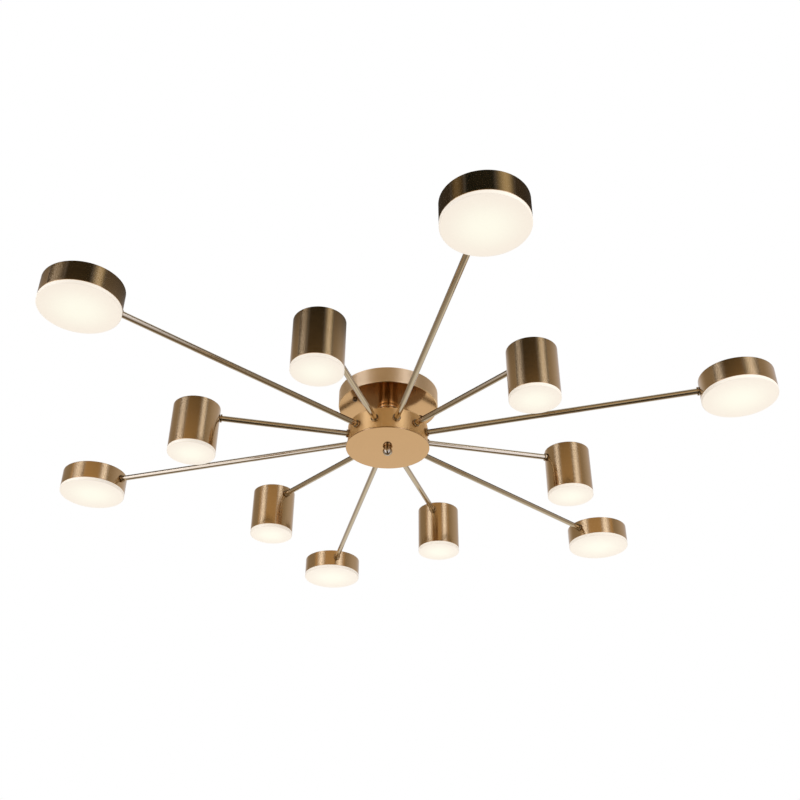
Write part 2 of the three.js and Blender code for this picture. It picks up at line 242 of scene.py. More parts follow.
def round_ring(shape, radius, height, rounding):
    """Rounds the ring of edges at a radius and a height."""

    def on_ring(vert):
        return abs(vert.co.xy.length - radius) < 1e-6 and abs(vert.co.z - height) < 1e-6

    bmesh.ops.bevel(
        shape,
        geom=[edge for edge in shape.edges if all(on_ring(vert) for vert in edge.verts)],
        offset=rounding,
        offset_type="OFFSET",
        segments=5,
        profile=0.5,
        affect="EDGES",
        material=-1,
        clamp_overlap=True,
    )


def open_wall(shape, chosen):
    """Takes away the chosen faces on both sides of a wall and joins the two openings."""
    gone = [face for face in shape.faces if chosen(face.calc_center_median())]
    if not gone:
        raise RuntimeError("no faces lie where the wall is to be opened")
    bmesh.ops.delete(shape, geom=gone, context="FACES")
    rims = [edge for edge in shape.edges if edge.is_boundary]
    bmesh.ops.bridge_loops(shape, edges=rims)
    bmesh.ops.recalc_face_normals(shape, faces=shape.faces)


def open_port(shape, angle, half_step, low, high):
    """Opens a port for an arm in a turned wall, at an angle about Z."""
    spoke = Vector((math.cos(angle), math.sin(angle)))

    def chosen(centre):
        return low < centre.z < high and centre.xy.normalized().dot(spoke) > math.cos(half_step)

    open_wall(shape, chosen)


def draw_out(shape, edges, step):
    """Draws edges out into faces by a step and gives back the edges at their far end."""
    drawn = bmesh.ops.extrude_edge_only(shape, edges=edges)["geom"]
    ends = {part for part in drawn if isinstance(part, bmesh.types.BMVert)}
    bmesh.ops.translate(shape, verts=list(ends), vec=step)
    return [edge for edge in shape.edges if ends.issuperset(edge.verts)]


def join(shapes):
    """One bmesh with all the given ones in it."""
    whole = bmesh.new()
    for shape in shapes:
        part = bpy.data.meshes.new("part")
        shape.to_mesh(part)
        shape.free()
        whole.from_mesh(part)
        bpy.data.meshes.remove(part)
    return whole


def second_coat(shape, chosen):
    """Gives the chosen faces the second material of their piece."""
    for face in shape.faces:
        face.material_index = 1 if chosen(face) else 0


def make_piece(name, shape, materials, nodes, body="light", place=Matrix.Identity(4)):
    """Makes the finished object: its place is in its mesh, and each point keeps where it was
    before that in the attribute own_place, which the finishes follow."""
    mesh = bpy.data.meshes.new(name)
    shape.to_mesh(mesh)
    shape.free()
    kept = mesh.attributes.new("own_place", "FLOAT_VECTOR", "POINT")
    kept.data.foreach_set("vector", [number for vert in mesh.vertices for number in vert.co])
    mesh.transform(place)
    mesh.polygons.foreach_set("use_smooth", [True] * len(mesh.polygons))
    mesh.set_sharp_from_angle(angle=math.radians(35))
    for material in materials:
        mesh.materials.append(material)
    piece = bpy.data.objects.new(name, mesh)
    bpy.context.scene.collection.objects.link(piece)
    apply_weighted_normals(piece)
    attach(piece, body)
    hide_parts(*nodes)


def apply_weighted_normals(piece):
    """Keeps flat faces flat beside their rounded edges."""
    rough = piece.data
    name = rough.name
    weighting = piece.modifiers.new("weighting", "WEIGHTED_NORMAL")
    weighting.keep_sharp = True
    graph = bpy.context.evaluated_depsgraph_get()
    weighted = piece.evaluated_get(graph)
    done = bpy.data.meshes.new_from_object(weighted, preserve_all_data_layers=True, depsgraph=graph)
    piece.modifiers.clear()
    piece.data = done
    bpy.data.meshes.remove(rough)
    done.name = name


# ---- nodes


def fill(tree, node, inputs):
    """Fills a node's inputs with values or with other nodes' outputs."""
    for socket, value in inputs.items():
        if isinstance(value, bpy.types.NodeSocket):
            tree.links.new(value, node.inputs[socket])
        else:
            node.inputs[socket].default_value = value


def add_node(tree, kind, inputs=None, **settings):
    made = tree.nodes.new(kind)
    for field, value in settings.items():
        setattr(made, field, value)
    fill(tree, made, inputs or {})
    return made


def math_node(tree, operation, *values, clamp=False):
    made = add_node(tree, "ShaderNodeMath", dict(enumerate(values)), operation=operation, use_clamp=clamp)
    return made.outputs[0]


def scaled(tree, value, factor, offset):
    return math_node(tree, "MULTIPLY_ADD", value, factor, offset)


def vector_node(tree, operation, *values, output="Vector"):
    made = add_node(tree, "ShaderNodeVectorMath", dict(enumerate(values)), operation=operation)
    return made.outputs[output]


def parts_of(tree, vector):
    """The three parts of a vector."""
    return tuple(add_node(tree, "ShaderNodeSeparateXYZ", {0: vector}).outputs)


def vector_of(tree, x=0.0, y=0.0, z=0.0):
    return add_node(tree, "ShaderNodeCombineXYZ", {0: x, 1: y, 2: z}).outputs[0]


def between(tree, value, low, high, start=0.0, end=1.0):
    """Takes a value from the range low to high smoothly to the range start to end."""
    made = add_node(
        tree,
        "ShaderNodeMapRange",
        {"Value": value, "From Min": low, "From Max": high, "To Min": start, "To Max": end},
        interpolation_type="SMOOTHSTEP",
    )
    return made.outputs["Result"]


def band(tree, value, low, high, soft):
    """1 between two values and 0 outside them, with soft ends."""
    rise = between(tree, value, low - soft, low + soft)
    fall = between(tree, value, high + soft, high - soft)
    return math_node(tree, "MULTIPLY", rise, fall)


def solid(tint):
    """A colour in the form that a colour socket takes."""
    return (*tint, 1.0)


def mix_colours(tree, factor, first, second):
    """Mixes two colours, each the output of a node or three parts."""
    ends = [end if isinstance(end, bpy.types.NodeSocket) else solid(end) for end in (first, second)]
    made = add_node(tree, "ShaderNodeMix", {0: factor, 6: ends[0], 7: ends[1]}, data_type="RGBA")
    return made.outputs[2]


def toned(tree, tint, tone, factor):
    """A colour that darkens by a tone where the factor is low."""
    return mix_colours(tree, factor, [part * tone for part in tint], tint)


def noise(tree, place, scale, detail=2.0):
    made = add_node(tree, "ShaderNodeTexNoise", {"Vector": place, "Scale": scale, "Detail": detail})
    return made.outputs["Fac"]


def bump(tree, height, distance, strength=1.0):
    made = add_node(tree, "ShaderNodeBump", {"Height": height, "Distance": distance, "Strength": strength})
    return made.outputs["Normal"]


def own_place(tree):
    return add_node(tree, "ShaderNodeAttribute", attribute_name="own_place").outputs["Vector"]


def object_place(tree):
    return add_node(tree, "ShaderNodeTexCoord").outputs["Object"]


def around_axis(tree, place):
    """Direction away from the Z axis, distance from it, and height."""
    x, y, height = parts_of(tree, place)
    flat = vector_of(tree, x, y)
    away = vector_node(tree, "NORMALIZE", flat)
    distance = vector_node(tree, "LENGTH", flat, output="Value")
    return away, distance, height


# ---- shared effects


def new_group(name, numbers, outputs):
    """An empty node group that takes a place and some numbers, with the sockets inside it."""
    tree = bpy.data.node_groups.new(name, "ShaderNodeTree")
    tree.interface.new_socket("Place", in_out="INPUT", socket_type="NodeSocketVector")
    for label, default in numbers.items():
        socket = tree.interface.new_socket(label, in_out="INPUT", socket_type="NodeSocketFloat")
        socket.default_value = default
    for label in outputs:
        tree.interface.new_socket(label, in_out="OUTPUT", socket_type="NodeSocketFloat")
    return tree, tree.nodes.new("NodeGroupInput").outputs, tree.nodes.new("NodeGroupOutput").inputs


def draw_lines(tree, given, result, away, sweep, rise, detail, cloud_scale):
    """Puts out lines and clouds. The lines are noise that changes with the direction away from the
    axis, times a sweep, and with a rise."""
    around = add_node(tree, "ShaderNodeVectorMath", {0: away, "Scale": sweep}, operation="SCALE")
    place = vector_node(tree, "ADD", around.outputs[0], vector_of(tree, z=rise))
    tree.links.new(noise(tree, place, 1.0, detail), result["Lines"])
    tree.links.new(noise(tree, given["Place"], cloud_scale, detail), result["Clouds"])


def turned_lines_group():
    """Fine lines round an axis, as a lathe or a polishing wheel leaves them."""
    tree, given, result = new_group("turned_lines", {"Spacing": 0.0006, "Sweep": 1.6}, ["Lines", "Clouds"])
    away, distance, height = around_axis(tree, given["Place"])
    rise = math_node(tree, "DIVIDE", math_node(tree, "ADD", distance, height), given["Spacing"])
    draw_lines(tree, given, result, away, given["Sweep"], rise, detail=3.0, cloud_scale=22.0)
    return tree


def drawn_lines_group():
    """Lines along a tube, as a drawing die leaves them."""
    tree, given, result = new_group("drawn_lines", {"Count": 9.0, "Length": 0.09}, ["Lines", "Clouds"])
    away, _, height = around_axis(tree, given["Place"])
    rise = math_node(tree, "DIVIDE", height, given["Length"])
    draw_lines(tree, given, result, away, given["Count"], rise, detail=2.0, cloud_scale=30.0)
    return tree


def rim_highlight_group():
    """Patchy painted highlight within a width of two heights, as if the edges caught the light."""
    tree, given, result = new_group("rim_highlight", {"Low": -0.03, "High": 0.0, "Width": 0.002}, ["Wear"])
    height = parts_of(tree, given["Place"])[2]
    above = math_node(tree, "SUBTRACT", height, given["Low"])
    below = math_node(tree, "SUBTRACT", given["High"], height)
    inside = math_node(tree, "ABSOLUTE", math_node(tree, "MINIMUM", above, below))
    near = between(tree, inside, given["Width"], 0.0)
    patches = between(tree, noise(tree, given["Place"], 90.0), 0.3, 0.6)
    tree.links.new(math_node(tree, "MULTIPLY", near, patches), result["Wear"])
    return tree


def thread_group():
    """Height of a screw thread about Z."""
    tree, given, result = new_group("screw_thread", {"Pitch": 0.001}, ["Height"])
    x, y, height = parts_of(tree, given["Place"])
    turns = math_node(tree, "DIVIDE", height, given["Pitch"])
    phase = scaled(tree, turns, math.tau, math_node(tree, "ARCTAN2", y, x))
    wave = math_node(tree, "SINE", phase)
    tree.links.new(scaled(tree, wave, 0.5, 0.5), result["Height"])
    return tree


GROUP_MAKERS = {
    "turned_lines": turned_lines_group,
    "drawn_lines": drawn_lines_group,
    "rim_highlight": rim_highlight_group,
    "screw_thread": thread_group,
}


def use_group(tree, name, **inputs):
    """Places a shared effect in a material and gives back its outputs. It is built the first time."""
    group = bpy.data.node_groups.get(name) or GROUP_MAKERS[name]()
    return add_node(tree, "ShaderNodeGroup", inputs, node_tree=group).outputs


# ---- finishes


def start_material(name):
    """An empty material and its shader."""
    material = bpy.data.materials.new(name)
    material.use_nodes = True
    tree = material.node_tree
    return material, tree, tree.nodes["Principled BSDF"]


def turned_metal(name, tint, roughness, sweep=1.6, streak=0.04, anisotropy=0.4, edges=None):
    """Metal brushed round its axis. Its gloss spreads across the lines, not along them. Edges are
    two heights where a painted highlight brightens it and its gloss is higher."""
    material, tree, shader = start_material(name)
    place = own_place(tree)
    lines, clouds = use_group(tree, "turned_lines", Place=place, Sweep=sweep)
    tone = toned(tree, tint, 0.86, scaled(tree, clouds, 0.3, scaled(tree, lines, 0.7, 0.15)))
    gloss = scaled(tree, clouds, streak, scaled(tree, lines, streak, roughness - streak))
    if edges:
        low, high = edges
        # Painted highlight: near the rims the colour is mixed towards a brighter copy of the tint.
        edge_highlight = use_group(tree, "rim_highlight", Place=place, Low=low, High=high, Width=0.0016)["Wear"]
        bright = [min(1.0, part * 1.25) for part in tint]
        tone = mix_colours(tree, math_node(tree, "MULTIPLY", edge_highlight, 0.5), tone, bright)
        gloss = scaled(tree, edge_highlight, -0.10, gloss)
    surface = {
        "Base Color": tone,
        "Metallic": 1.0,
        "Roughness": gloss,
        "Normal": bump(tree, lines, 0.00002, 4.0 * streak),
        "Anisotropic": anisotropy,
        "Anisotropic Rotation": 0.25,
        "Tangent": add_node(tree, "ShaderNodeTangent", direction_type="RADIAL", axis="Z").outputs[0],
    }
    fill(tree, shader, surface)
    return material


def drawn_metal(name, tint, roughness):
    """Tube with faint lines along it."""
    material, tree, shader = start_material(name)
    lines, clouds = use_group(tree, "drawn_lines", Place=own_place(tree))
    surface = {
        "Base Color": toned(tree, tint, 0.82, lines),
        "Metallic": 1.0,
        "Roughness": scaled(tree, clouds, 0.08, roughness - 0.04),
        "Normal": bump(tree, lines, 0.000004),
    }
    fill(tree, shader, surface)
    return material


def plain_metal(name, tint, roughness, place_of=own_place):
    """Polished or plated metal with faint clouds in its gloss."""
    material, tree, shader = start_material(name)
    clouds = use_group(tree, "turned_lines", Place=place_of(tree))["Clouds"]
    gloss = scaled(tree, clouds, 0.10, roughness - 0.05)
    fill(tree, shader, {"Base Color": toned(tree, tint, 0.85, clouds), "Metallic": 1.0, "Roughness": gloss})
    return material


def threaded_steel(name, tint):
    """Plated steel with a fine thread about the middle axis."""
    material, tree, shader = start_material(name)
    place = object_place(tree)
    ridge = use_group(tree, "screw_thread", Place=place)["Height"]
    clouds = use_group(tree, "turned_lines", Place=place)["Clouds"]
    surface = {
        # Painted shade: the colour darkens in the thread's grooves.
        "Base Color": toned(tree, tint, 0.6, ridge),
        "Metallic": 1.0,
        "Roughness": scaled(tree, clouds, 0.15, 0.28),
        "Normal": bump(tree, ridge, 0.0003),
    }
    fill(tree, shader, surface)
    return material


def moulded_plastic(name, tint, roughness):
    """Matt plastic or coated board with a fine grain."""
    material, tree, shader = start_material(name)
    place = object_place(tree)
    clouds = use_group(tree, "turned_lines", Place=place)["Clouds"]
    surface = {
        "Base Color": toned(tree, tint, 0.93, clouds),
        "Roughness": scaled(tree, clouds, 0.12, roughness - 0.06),
        "Normal": bump(tree, noise(tree, place, 900.0), 0.00005, 0.5),
    }
    fill(tree, shader, surface)
    return material


def opal_acrylic(name, finishes, radius):
    """Lit opal acrylic, a little brighter in the middle than at its rim and on its side."""
    material, tree, shader = start_material(name)
    place = own_place(tree)
    _, distance, _ = around_axis(tree, place)
    towards_rim = between(tree, distance, radius * 0.15, radius)
    on_side = between(tree, distance, radius - 1.8 * MM, radius - 0.2 * MM)
    patches = noise(tree, place, 30.0)
    less_rim = math_node(tree, "SUBTRACT", towards_rim, 0.03)
    clouds = math_node(tree, "MULTIPLY_ADD", patches, 0.06, less_rim, clamp=True)
    glow = mix_colours(tree, clouds, finishes.glow, finishes.glow_rim)
    surface = {
        "Base Color": toned(tree, finishes.opal, 0.97, patches),
        "Roughness": scaled(tree, patches, 0.08, 0.34),
        "Emission Color": mix_colours(tree, on_side, glow, finishes.glow_side),
        "Emission Strength": 1.0,
    }
    fill(tree, shader, surface)
    return material


# ---- heads and arms


def spoke_angle(centre):
    return math.atan2(centre.y, centre.x)


def head_place(node):
    """Moves a piece of a head from its own axis to its place and turns it towards the hub."""
    centre = middle(node)
    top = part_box(node)[1].z
    return Matrix.Translation((centre.x, centre.y, top)) @ Matrix.Rotation(spoke_angle(centre), 4, "Z")


def shade_shape(kind, settings, segments, port_steps):
    """A shade about its own axis, its top at height 0 and its port towards -X."""
    heads, body = settings.light_heads, settings.light_body
    radius, bottom, top = round_box(f"{kind}_shade_1")
    mouth = bottom - top
    axis = middle("long_arm_1").z - top
    inside = radius - heads.shade_wall
    ledge = heads.ledge_width if kind == "cylinder" else 0.0
    port = [axis + body.port / 2, axis - body.port / 2]
    outline = [(0.0, -heads.shade_roof)]
    outline += [(inside - ledge, height) for height in (-heads.shade_roof, *port)]
    if ledge:
        step = mouth + heads.ledge_height
        outline += [(inside - ledge, step), (inside, step)]
    outline += [(inside, mouth, heads.shade_edge / 2), (radius, mouth, heads.shade_edge)]
    outline += [(radius, height) for height in reversed(port)]
    outline += [(radius, 0.0, heads.shade_edge), (0.0, 0.0)]
    shape = turn(outline, segments)
    open_port(shape, math.pi, port_steps * math.tau / segments, port[1], port[0])
    return shape


def make_shades(kind, settings, segments, port_steps):
    """Six shades, turned in segments. A port reaches some steps to either side of its middle."""
    finishes = settings.light_finishes
    _, bottom, top = round_box(f"{kind}_shade_1")
    edges = (bottom - top, 0.0)
    brass = turned_metal(
        f"{kind}_shade_brass", finishes.shade_brass, finishes.shade_roughness, anisotropy=0.2, edges=edges
    )
    roof = turned_metal(
        f"{kind}_roof_brass", finishes.shade_brass, finishes.shade_top_roughness, sweep=0.3, streak=0.01
    )
    for number in range(1, ARM_COUNT + 1):
        node = f"{kind}_shade_{number}"
        name = f"brushed_{kind}_shade_{number}"
        shape = shade_shape(kind, settings, segments, port_steps)
        second_coat(shape, lambda face: face.normal.z > 0.9)
        make_piece(name, shape, [brass, roof], [node], place=head_place(node))


def make_diffusers(kind, settings, segments):
    heads = settings.light_heads
    radius = half_width(f"{kind}_shade_1")
    acrylic = opal_acrylic(f"{kind}_opal", settings.light_finishes, radius)
    spigot = radius - heads.shade_wall - heads.spigot_gap
    rim = -heads.spigot_height
    for number in range(1, ARM_COUNT + 1):
        node = f"{kind}_diffuser_{number}"
        name = f"opal_{kind}_diffuser_{number}"
        _, bottom, top = round_box(node)
        outline = [
            (0.0, bottom - top),
            (radius, bottom - top, heads.diffuser_edge),
            (radius, rim, CRISP),
            (spigot, rim),
            (spigot, 0.0, CRISP),
            (0.0, 0.0),
        ]
        shape = turn(outline, segments)
        make_piece(name, shape, [acrylic], [node], place=head_place(node))


def arm_shape(arms, hub_face, head_face, start, end):
    """An arm along Z with its collars, its threads and its two lock nuts."""
    bore, thread, tube, collar = (size / 2 for size in (arms.bore, arms.thread, arms.tube, arms.collar))
    edge = arms.edge
    tube_outline = [
        (bore, start),
        (thread, start, edge),
        (thread, hub_face),
        (collar, hub_face, edge / 2),
        (collar, hub_face + arms.collar_length, edge),
        (tube, hub_face + arms.collar_length),
        (tube, head_face - arms.collar_length),
        (collar, head_face - arms.collar_length, edge),
        (collar, head_face, edge / 2),
        (thread, head_face),
        (thread, end, edge),
        (bore, end),
    ]
    shapes = [turn(tube_outline, 32)]
    corner = arms.nut / 2
    hole = (thread + arms.nut_gap) / math.cos(math.pi / 6)
    for low in (start + arms.thread_end, end - arms.thread_end - arms.nut_height):
        high = low + arms.nut_height
        nut_outline = [(hole, low), (corner, low, edge), (corner, high, edge), (hole, high)]
        shapes.append(turn(nut_outline, 6))
    return join(shapes)


def make_arms(label, kind, measured, settings, coats):
    """Six arms of a label to the heads of a kind. The measured one runs along X or Y."""
    arms = settings.light_arms
    reach = [max(abs(corner.x), abs(corner.y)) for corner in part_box(measured)]
    start, end = min(reach), max(reach)
    past_tube = arms.tube / 2 + 0.1 * MM
    for number in range(1, ARM_COUNT + 1):
        node = f"{label}_{number}"
        head = middle(f"{kind}_shade_{number}")
        hub_face = half_width("hub_drum") + arms.seat_gap
        head_face = head.xy.length - half_width(f"{kind}_shade_1") - arms.seat_gap
        shape = arm_shape(arms, hub_face, head_face, start, end)
        second_coat(shape, lambda face: face.calc_center_median().xy.length > past_tube)
        height = Matrix.Translation((0, 0, middle(node).z))
        place = height @ Matrix.Rotation(spoke_angle(head), 4, "Z") @ Matrix.Rotation(math.pi / 2, 4, "Y")
        make_piece(f"drawn_{label}_{number}", shape, coats, [node], place=place)


# ---- operators


class LIGHT_OT_canopy(bpy.types.Operator):
    """Make the spun canopy with its rounded lower edge"""

    bl_idname = "light.canopy"
    bl_label = "Canopy"

    def execute(self, context):
        body, finishes = context.scene.light_body, context.scene.light_finishes
        radius, bottom, top = round_box("canopy")
        inside = radius - body.canopy_wall
        floor = bottom + body.canopy_wall
        rod_hole, screw_hole = body.rod_hole / 2, body.screw_hole / 2
        near, far = body.screw_offset - screw_hole, body.screw_offset + screw_hole
        outline = [(rod_hole, bottom, CRISP), (near, bottom), (far, bottom)]
        outline += [(radius, bottom, body.canopy_edge), (radius, top, FINE)]
        outline += [(inside, top), (inside, floor, 2 * FINE)]
        outline += [(reach, floor) for reach in (far, near, rod_hole)]
        shape = turn(outline, 180)
        for node in ("canopy_screw_left", "canopy_screw_right"):
            screw = middle(node).xy
            open_wall(shape, lambda centre: (centre.xy - screw).length < screw_hole)
        second_coat(shape, lambda face: abs(face.normal.z) > 0.9)
        edges = (bottom, top)
        # Painted light: the wall takes the paler, lit copy of the brass.
        wall = turned_metal(
            "canopy_wall_lit_brass", finishes.lit_wall_brass, finishes.wall_roughness, anisotropy=0.8, edges=edges
        )
        roughness = finishes.face_roughness + 0.04
        face = turned_metal("canopy_face_brass", finishes.satin_brass, roughness, streak=0.02)
        make_piece("spun_canopy", shape, [wall, face], ["canopy"])
        return {"FINISHED"}


class LIGHT_OT_canopy_screws(bpy.types.Operator):
    """Make the two cross-head screws that hold the canopy"""

    bl_idname = "light.canopy_screws"
    bl_label = "Canopy Screws"

    def execute(self, context):
        body = context.scene.light_body
        # Painted shade: the screws' very dark brass stands in for the shade under the canopy.
        aged = plain_metal("shaded_screw_brass", context.scene.light_finishes.screw, 0.32)
        head, shank = body.screw_head / 2, body.screw_shank / 2
        neck = body.screw_head_height
        for side in ("left", "right"):
            node = f"canopy_screw_{side}"
            low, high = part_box(node)
            tip = high.z - low.z
            outline = [(0.0, 0.0), (head, 0.0, body.screw_crown), (head, neck)]
            outline += [(shank, neck), (shank, tip, FINE), (0.0, tip)]
            shape = turn(outline, 32)
            cut_cross(shape, reach=1.9 * MM, half=0.45 * MM, depth=1.1 * MM)
            centre = middle(node)
            place = Matrix.Translation((centre.x, centre.y, low.z)) @ Matrix.Rotation(0.6, 4, "Z")
            make_piece(f"cross_head_{side}_screw", shape, [aged], [node], place=place)
        return {"FINISHED"}


def cut_cross(shape, reach, half, depth):
    """Sinks a cross recess into the flat end at height 0."""

    def on_end(face):
        return face.calc_center_median().z < 1e-6 and face.normal.z < -0.9

    def in_cross(face):
        near, far = sorted(abs(part) for part in face.calc_center_median().xy)
        return near < half and far < reach

    for offset in (-reach, -half, half, reach):
        for direction in (Vector((1, 0, 0)), Vector((0, 1, 0))):
            parts = {face for face in shape.faces if on_end(face)}
            for face in list(parts):
                parts.update(face.edges, face.verts)
            bmesh.ops.bisect_plane(
                shape, geom=list(parts), dist=1e-6, plane_co=direction * offset, plane_no=direction
            )
    chosen = [face for face in shape.faces if on_end(face) and in_cross(face)]
    sunk = bmesh.ops.extrude_face_region(shape, geom=chosen)["geom"]
    bmesh.ops.delete(shape, geom=chosen, context="FACES")
    points = [part for part in sunk if isinstance(part, bmesh.types.BMVert)]
    bmesh.ops.translate(shape, verts=points, vec=(0, 0, depth))
    bmesh.ops.remove_doubles(shape, verts=shape.verts, dist=1e-6)
    bmesh.ops.recalc_face_normals(shape, faces=shape.faces)


class LIGHT_OT_stem(bpy.types.Operator):
    """Make the stem tube and the collar that it seats in"""

    bl_idname = "light.stem"
    bl_label = "Stem and Collar"

    def execute(self, context):
        body, finishes = context.scene.light_body, context.scene.light_finishes
        brass = turned_metal(
            "stem_brass", finishes.stem_brass, finishes.face_roughness, streak=0.02, anisotropy=0.0
        )
        outer, bottom, top = round_box("stem_tube")
        inner = outer - body.stem_wall
        outline = [(inner, bottom), (outer, bottom, FINE), (outer, top, FINE), (inner, top)]
        make_piece("spun_stem", turn(outline, 96), [brass], ["stem_tube"])

        outer, bottom, top = round_box("stem_collar")
        recess, hole = body.collar_recess / 2, body.rod_hole / 2
        floor = top - body.collar_floor
        outline = [(recess, bottom, FINE), (outer, bottom, SOFT), (outer, top, SOFT)]
        outline += [(hole, top), (hole, floor), (recess, floor)]
        make_piece("turned_stem_collar", turn(outline, 96), [brass], ["stem_collar"])
        return {"FINISHED"}


class LIGHT_OT_hub(bpy.types.Operator):
    """Make the hub drum with its twelve ports and the flat cover under it"""

    bl_idname = "light.hub"
    bl_label = "Hub and Cover"

    def execute(self, context):
        body, finishes = context.scene.light_body, context.scene.light_finishes
        radius, bottom, top = round_box("hub_drum")
        inside = radius - body.hub_wall
        ceiling = top - body.hub_wall
        axis = middle("long_arm_1").z
        port = [axis - body.port / 2, axis + body.port / 2]
        hole = body.rod_hole / 2
        outline = [(inside, bottom, FINE), (radius, bottom, FINE)]
        outline += [(radius, height) for height in port]
        outline += [(radius, top, SOFT), (hole, top), (hole, ceiling), (inside, ceiling)]
        outline += [(inside, height) for height in reversed(port)]
        segments, port_steps = 144, 1.6
        step = math.tau / segments
        shape = turn(outline, segments)
        bmesh.ops.rotate(shape, verts=shape.verts, cent=(0, 0, 0), matrix=Matrix.Rotation(step / 2, 3, "Z"))
        for number in range(2 * ARM_COUNT):
            open_port(shape, number * math.pi / ARM_COUNT, port_steps * step, *port)
        second_coat(shape, lambda face: face.normal.z > 0.9)
        edges = (bottom, top)
        # Painted light: the hub wall takes the paler, lit copy of the brass.
        wall = turned_metal(
            "hub_wall_lit_brass", finishes.lit_hub_brass, finishes.wall_roughness, anisotropy=0.8, edges=edges
        )
        # Painted shade: darker brass for the roof in the gap under the canopy.
        roof = turned_metal("hub_roof_shadowed_brass", finishes.roof_brass, 2 * finishes.face_roughness, streak=0.02)
        make_piece("spun_hub", shape, [wall, roof], ["hub_drum"])

        radius, bottom, top = round_box("hub_cover")
        outline = [(hole, bottom, CRISP), (radius, bottom, EASED), (radius, top, EASED), (hole, top)]
        face = turned_metal("cover_brass", finishes.satin_brass, finishes.face_roughness, streak=0.02)
        make_piece("flat_hub_cover", turn(outline, 180), [face], ["hub_cover"])
        return {"FINISHED"}


class LIGHT_OT_finial(bpy.types.Operator):
    """Make the polished finial nut, which turns on the centre rod"""

    bl_idname = "light.finial"
    bl_label = "Finial Nut"

    def execute(self, context):
        body = context.scene.light_body
        belly, bottom, top = round_box("finial_nut")
        neck, hole = body.finial_neck / 2, body.rod_hole / 2
        hole_end = bottom + body.finial_end
        outline = [(0.0, bottom)]
        for step in range(1, 13):
            angle = step / 12 * math.pi / 2
            rise = body.finial_dome * (1 - math.cos(angle))
            outline.append((belly * math.sin(angle), bottom + rise))
        outline += [(belly, top - body.finial_shoulder, EASED)]
        outline += [(neck, top - body.finial_neck_height, CRISP), (neck, top, CRISP)]
        outline += [(hole, top), (hole, hole_end), (0.0, hole_end)]
        nickel = plain_metal("finial_polish", context.scene.light_finishes.nickel, 0.08)
        shape = turn(outline, 64)
        make_piece("domed_finial", shape, [nickel], ["finial_nut"], body="finial")
        return {"FINISHED"}


class LIGHT_OT_arms(bpy.types.Operator):
    """Make the six long and six short arms with their collars and lock nuts"""

    bl_idname = "light.arms"
    bl_label = "Arms"

    def execute(self, context):
        finishes = context.scene.light_finishes
        tube = drawn_metal("drawn_brass", finishes.arm_brass, finishes.arm_roughness)
        # Painted shade: the collars are a darker copy of the arm brass.
        collar = turned_metal("shaded_collar_brass", finishes.shaded_collar_brass, finishes.arm_roughness, streak=0.02)
        make_arms("long_arm", "disc", "long_arm_1", context.scene, [tube, collar])
        make_arms("short_arm", "cylinder", "short_arm_2", context.scene, [tube, collar])
        return {"FINISHED"}


class LIGHT_OT_disc_shades(bpy.types.Operator):
    """Make the six flat disc shades"""

    bl_idname = "light.disc_shades"
    bl_label = "Disc Shades"

    def execute(self, context):
        make_shades("disc", context.scene, segments=121, port_steps=1.6)
        return {"FINISHED"}


class LIGHT_OT_cylinder_shades(bpy.types.Operator):
    """Make the six cylinder shades"""

    bl_idname = "light.cylinder_shades"
    bl_label = "Cylinder Shades"

    def execute(self, context):
        make_shades("cylinder", context.scene, segments=108, port_steps=2.1)
        return {"FINISHED"}


class LIGHT_OT_diffusers(bpy.types.Operator):
    """Make the twelve lit opal diffusers"""

    bl_idname = "light.diffusers"
    bl_label = "Diffusers"

    def execute(self, context):
        make_diffusers("disc", context.scene, segments=120)
        make_diffusers("cylinder", context.scene, segments=108)
        return {"FINISHED"}


class LIGHT_OT_fittings(bpy.types.Operator):
    """Finish the fittings inside the light, which keep their CAD shape"""

    bl_idname = "light.fittings"
    bl_label = "Inner Fittings"

    def execute(self, context):
        finishes = context.scene.light_finishes
        zinc = plain_metal("plated_steel", finishes.zinc, 0.38, object_place)
        thread = threaded_steel("threaded_steel", finishes.zinc)
        board = moulded_plastic("board_coating", finishes.board, 0.5)
        housing = moulded_plastic("driver_plastic", finishes.housing, 0.55)
        coats = {"mounting_crossbar": zinc, "hub_lock_nut": zinc, "centre_rod": thread, "led_driver": housing}
        for kind in ("disc", "cylinder"):
            for number in range(1, ARM_COUNT + 1):
                coats[f"{kind}_led_board_{number}"] = board
        for node, coat in coats.items():
            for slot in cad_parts[node].material_slots:
                slot.material = coat
        return {"FINISHED"}


class LIGHT_OT_studio(bpy.types.Operator):
    """Make the floor, the cloths, the room, the lamps and the camera"""

    bl_idname = "light.studio"
    bl_label = "Studio"

    def execute(self, context):
        studio = context.scene.light_studio
        make_floor(studio)
        make_tent(studio)
        make_panel("right_panel", studio.right_panel, studio.right_slats, angle=27.4, width=0.25, soft=0.58)
        make_panel("left_panel", studio.left_panel, studio.left_slats, angle=-71.9, width=0.19, soft=0.68)
        make_wide_mat(studio)
        make_round_mat(studio)
        make_runner(studio)
        make_room(studio)
        make_lamp("right_soft_lamp", (0.87, -1.71, 0.10), studio.right_lamp)
        make_lamp("left_soft_lamp", (-1.82, -0.40, 0.10), studio.left_lamp)
        make_camera(studio)
        context.scene.view_settings.view_transform = "Standard"
        return {"FINISHED"}


# ---- studio

CLOTH_TURN = math.radians(11.74)  # of the tent and the mats about Z, towards the camera
TENT_RADIUS = 12.0

PANEL_REACH = 1.9  # from the middle of the light to a panel
PANEL_TOP, PANEL_FOOT = 3.0, -1.8
PANEL_RUN = 1.4  # of a panel's foot along the floor
PANEL_SIDE = 1.2  # from a panel's middle to its edge
SLAT_PITCH, SLAT_DEPTH, SLAT_DROP = 0.006, 0.0105, 0.0028


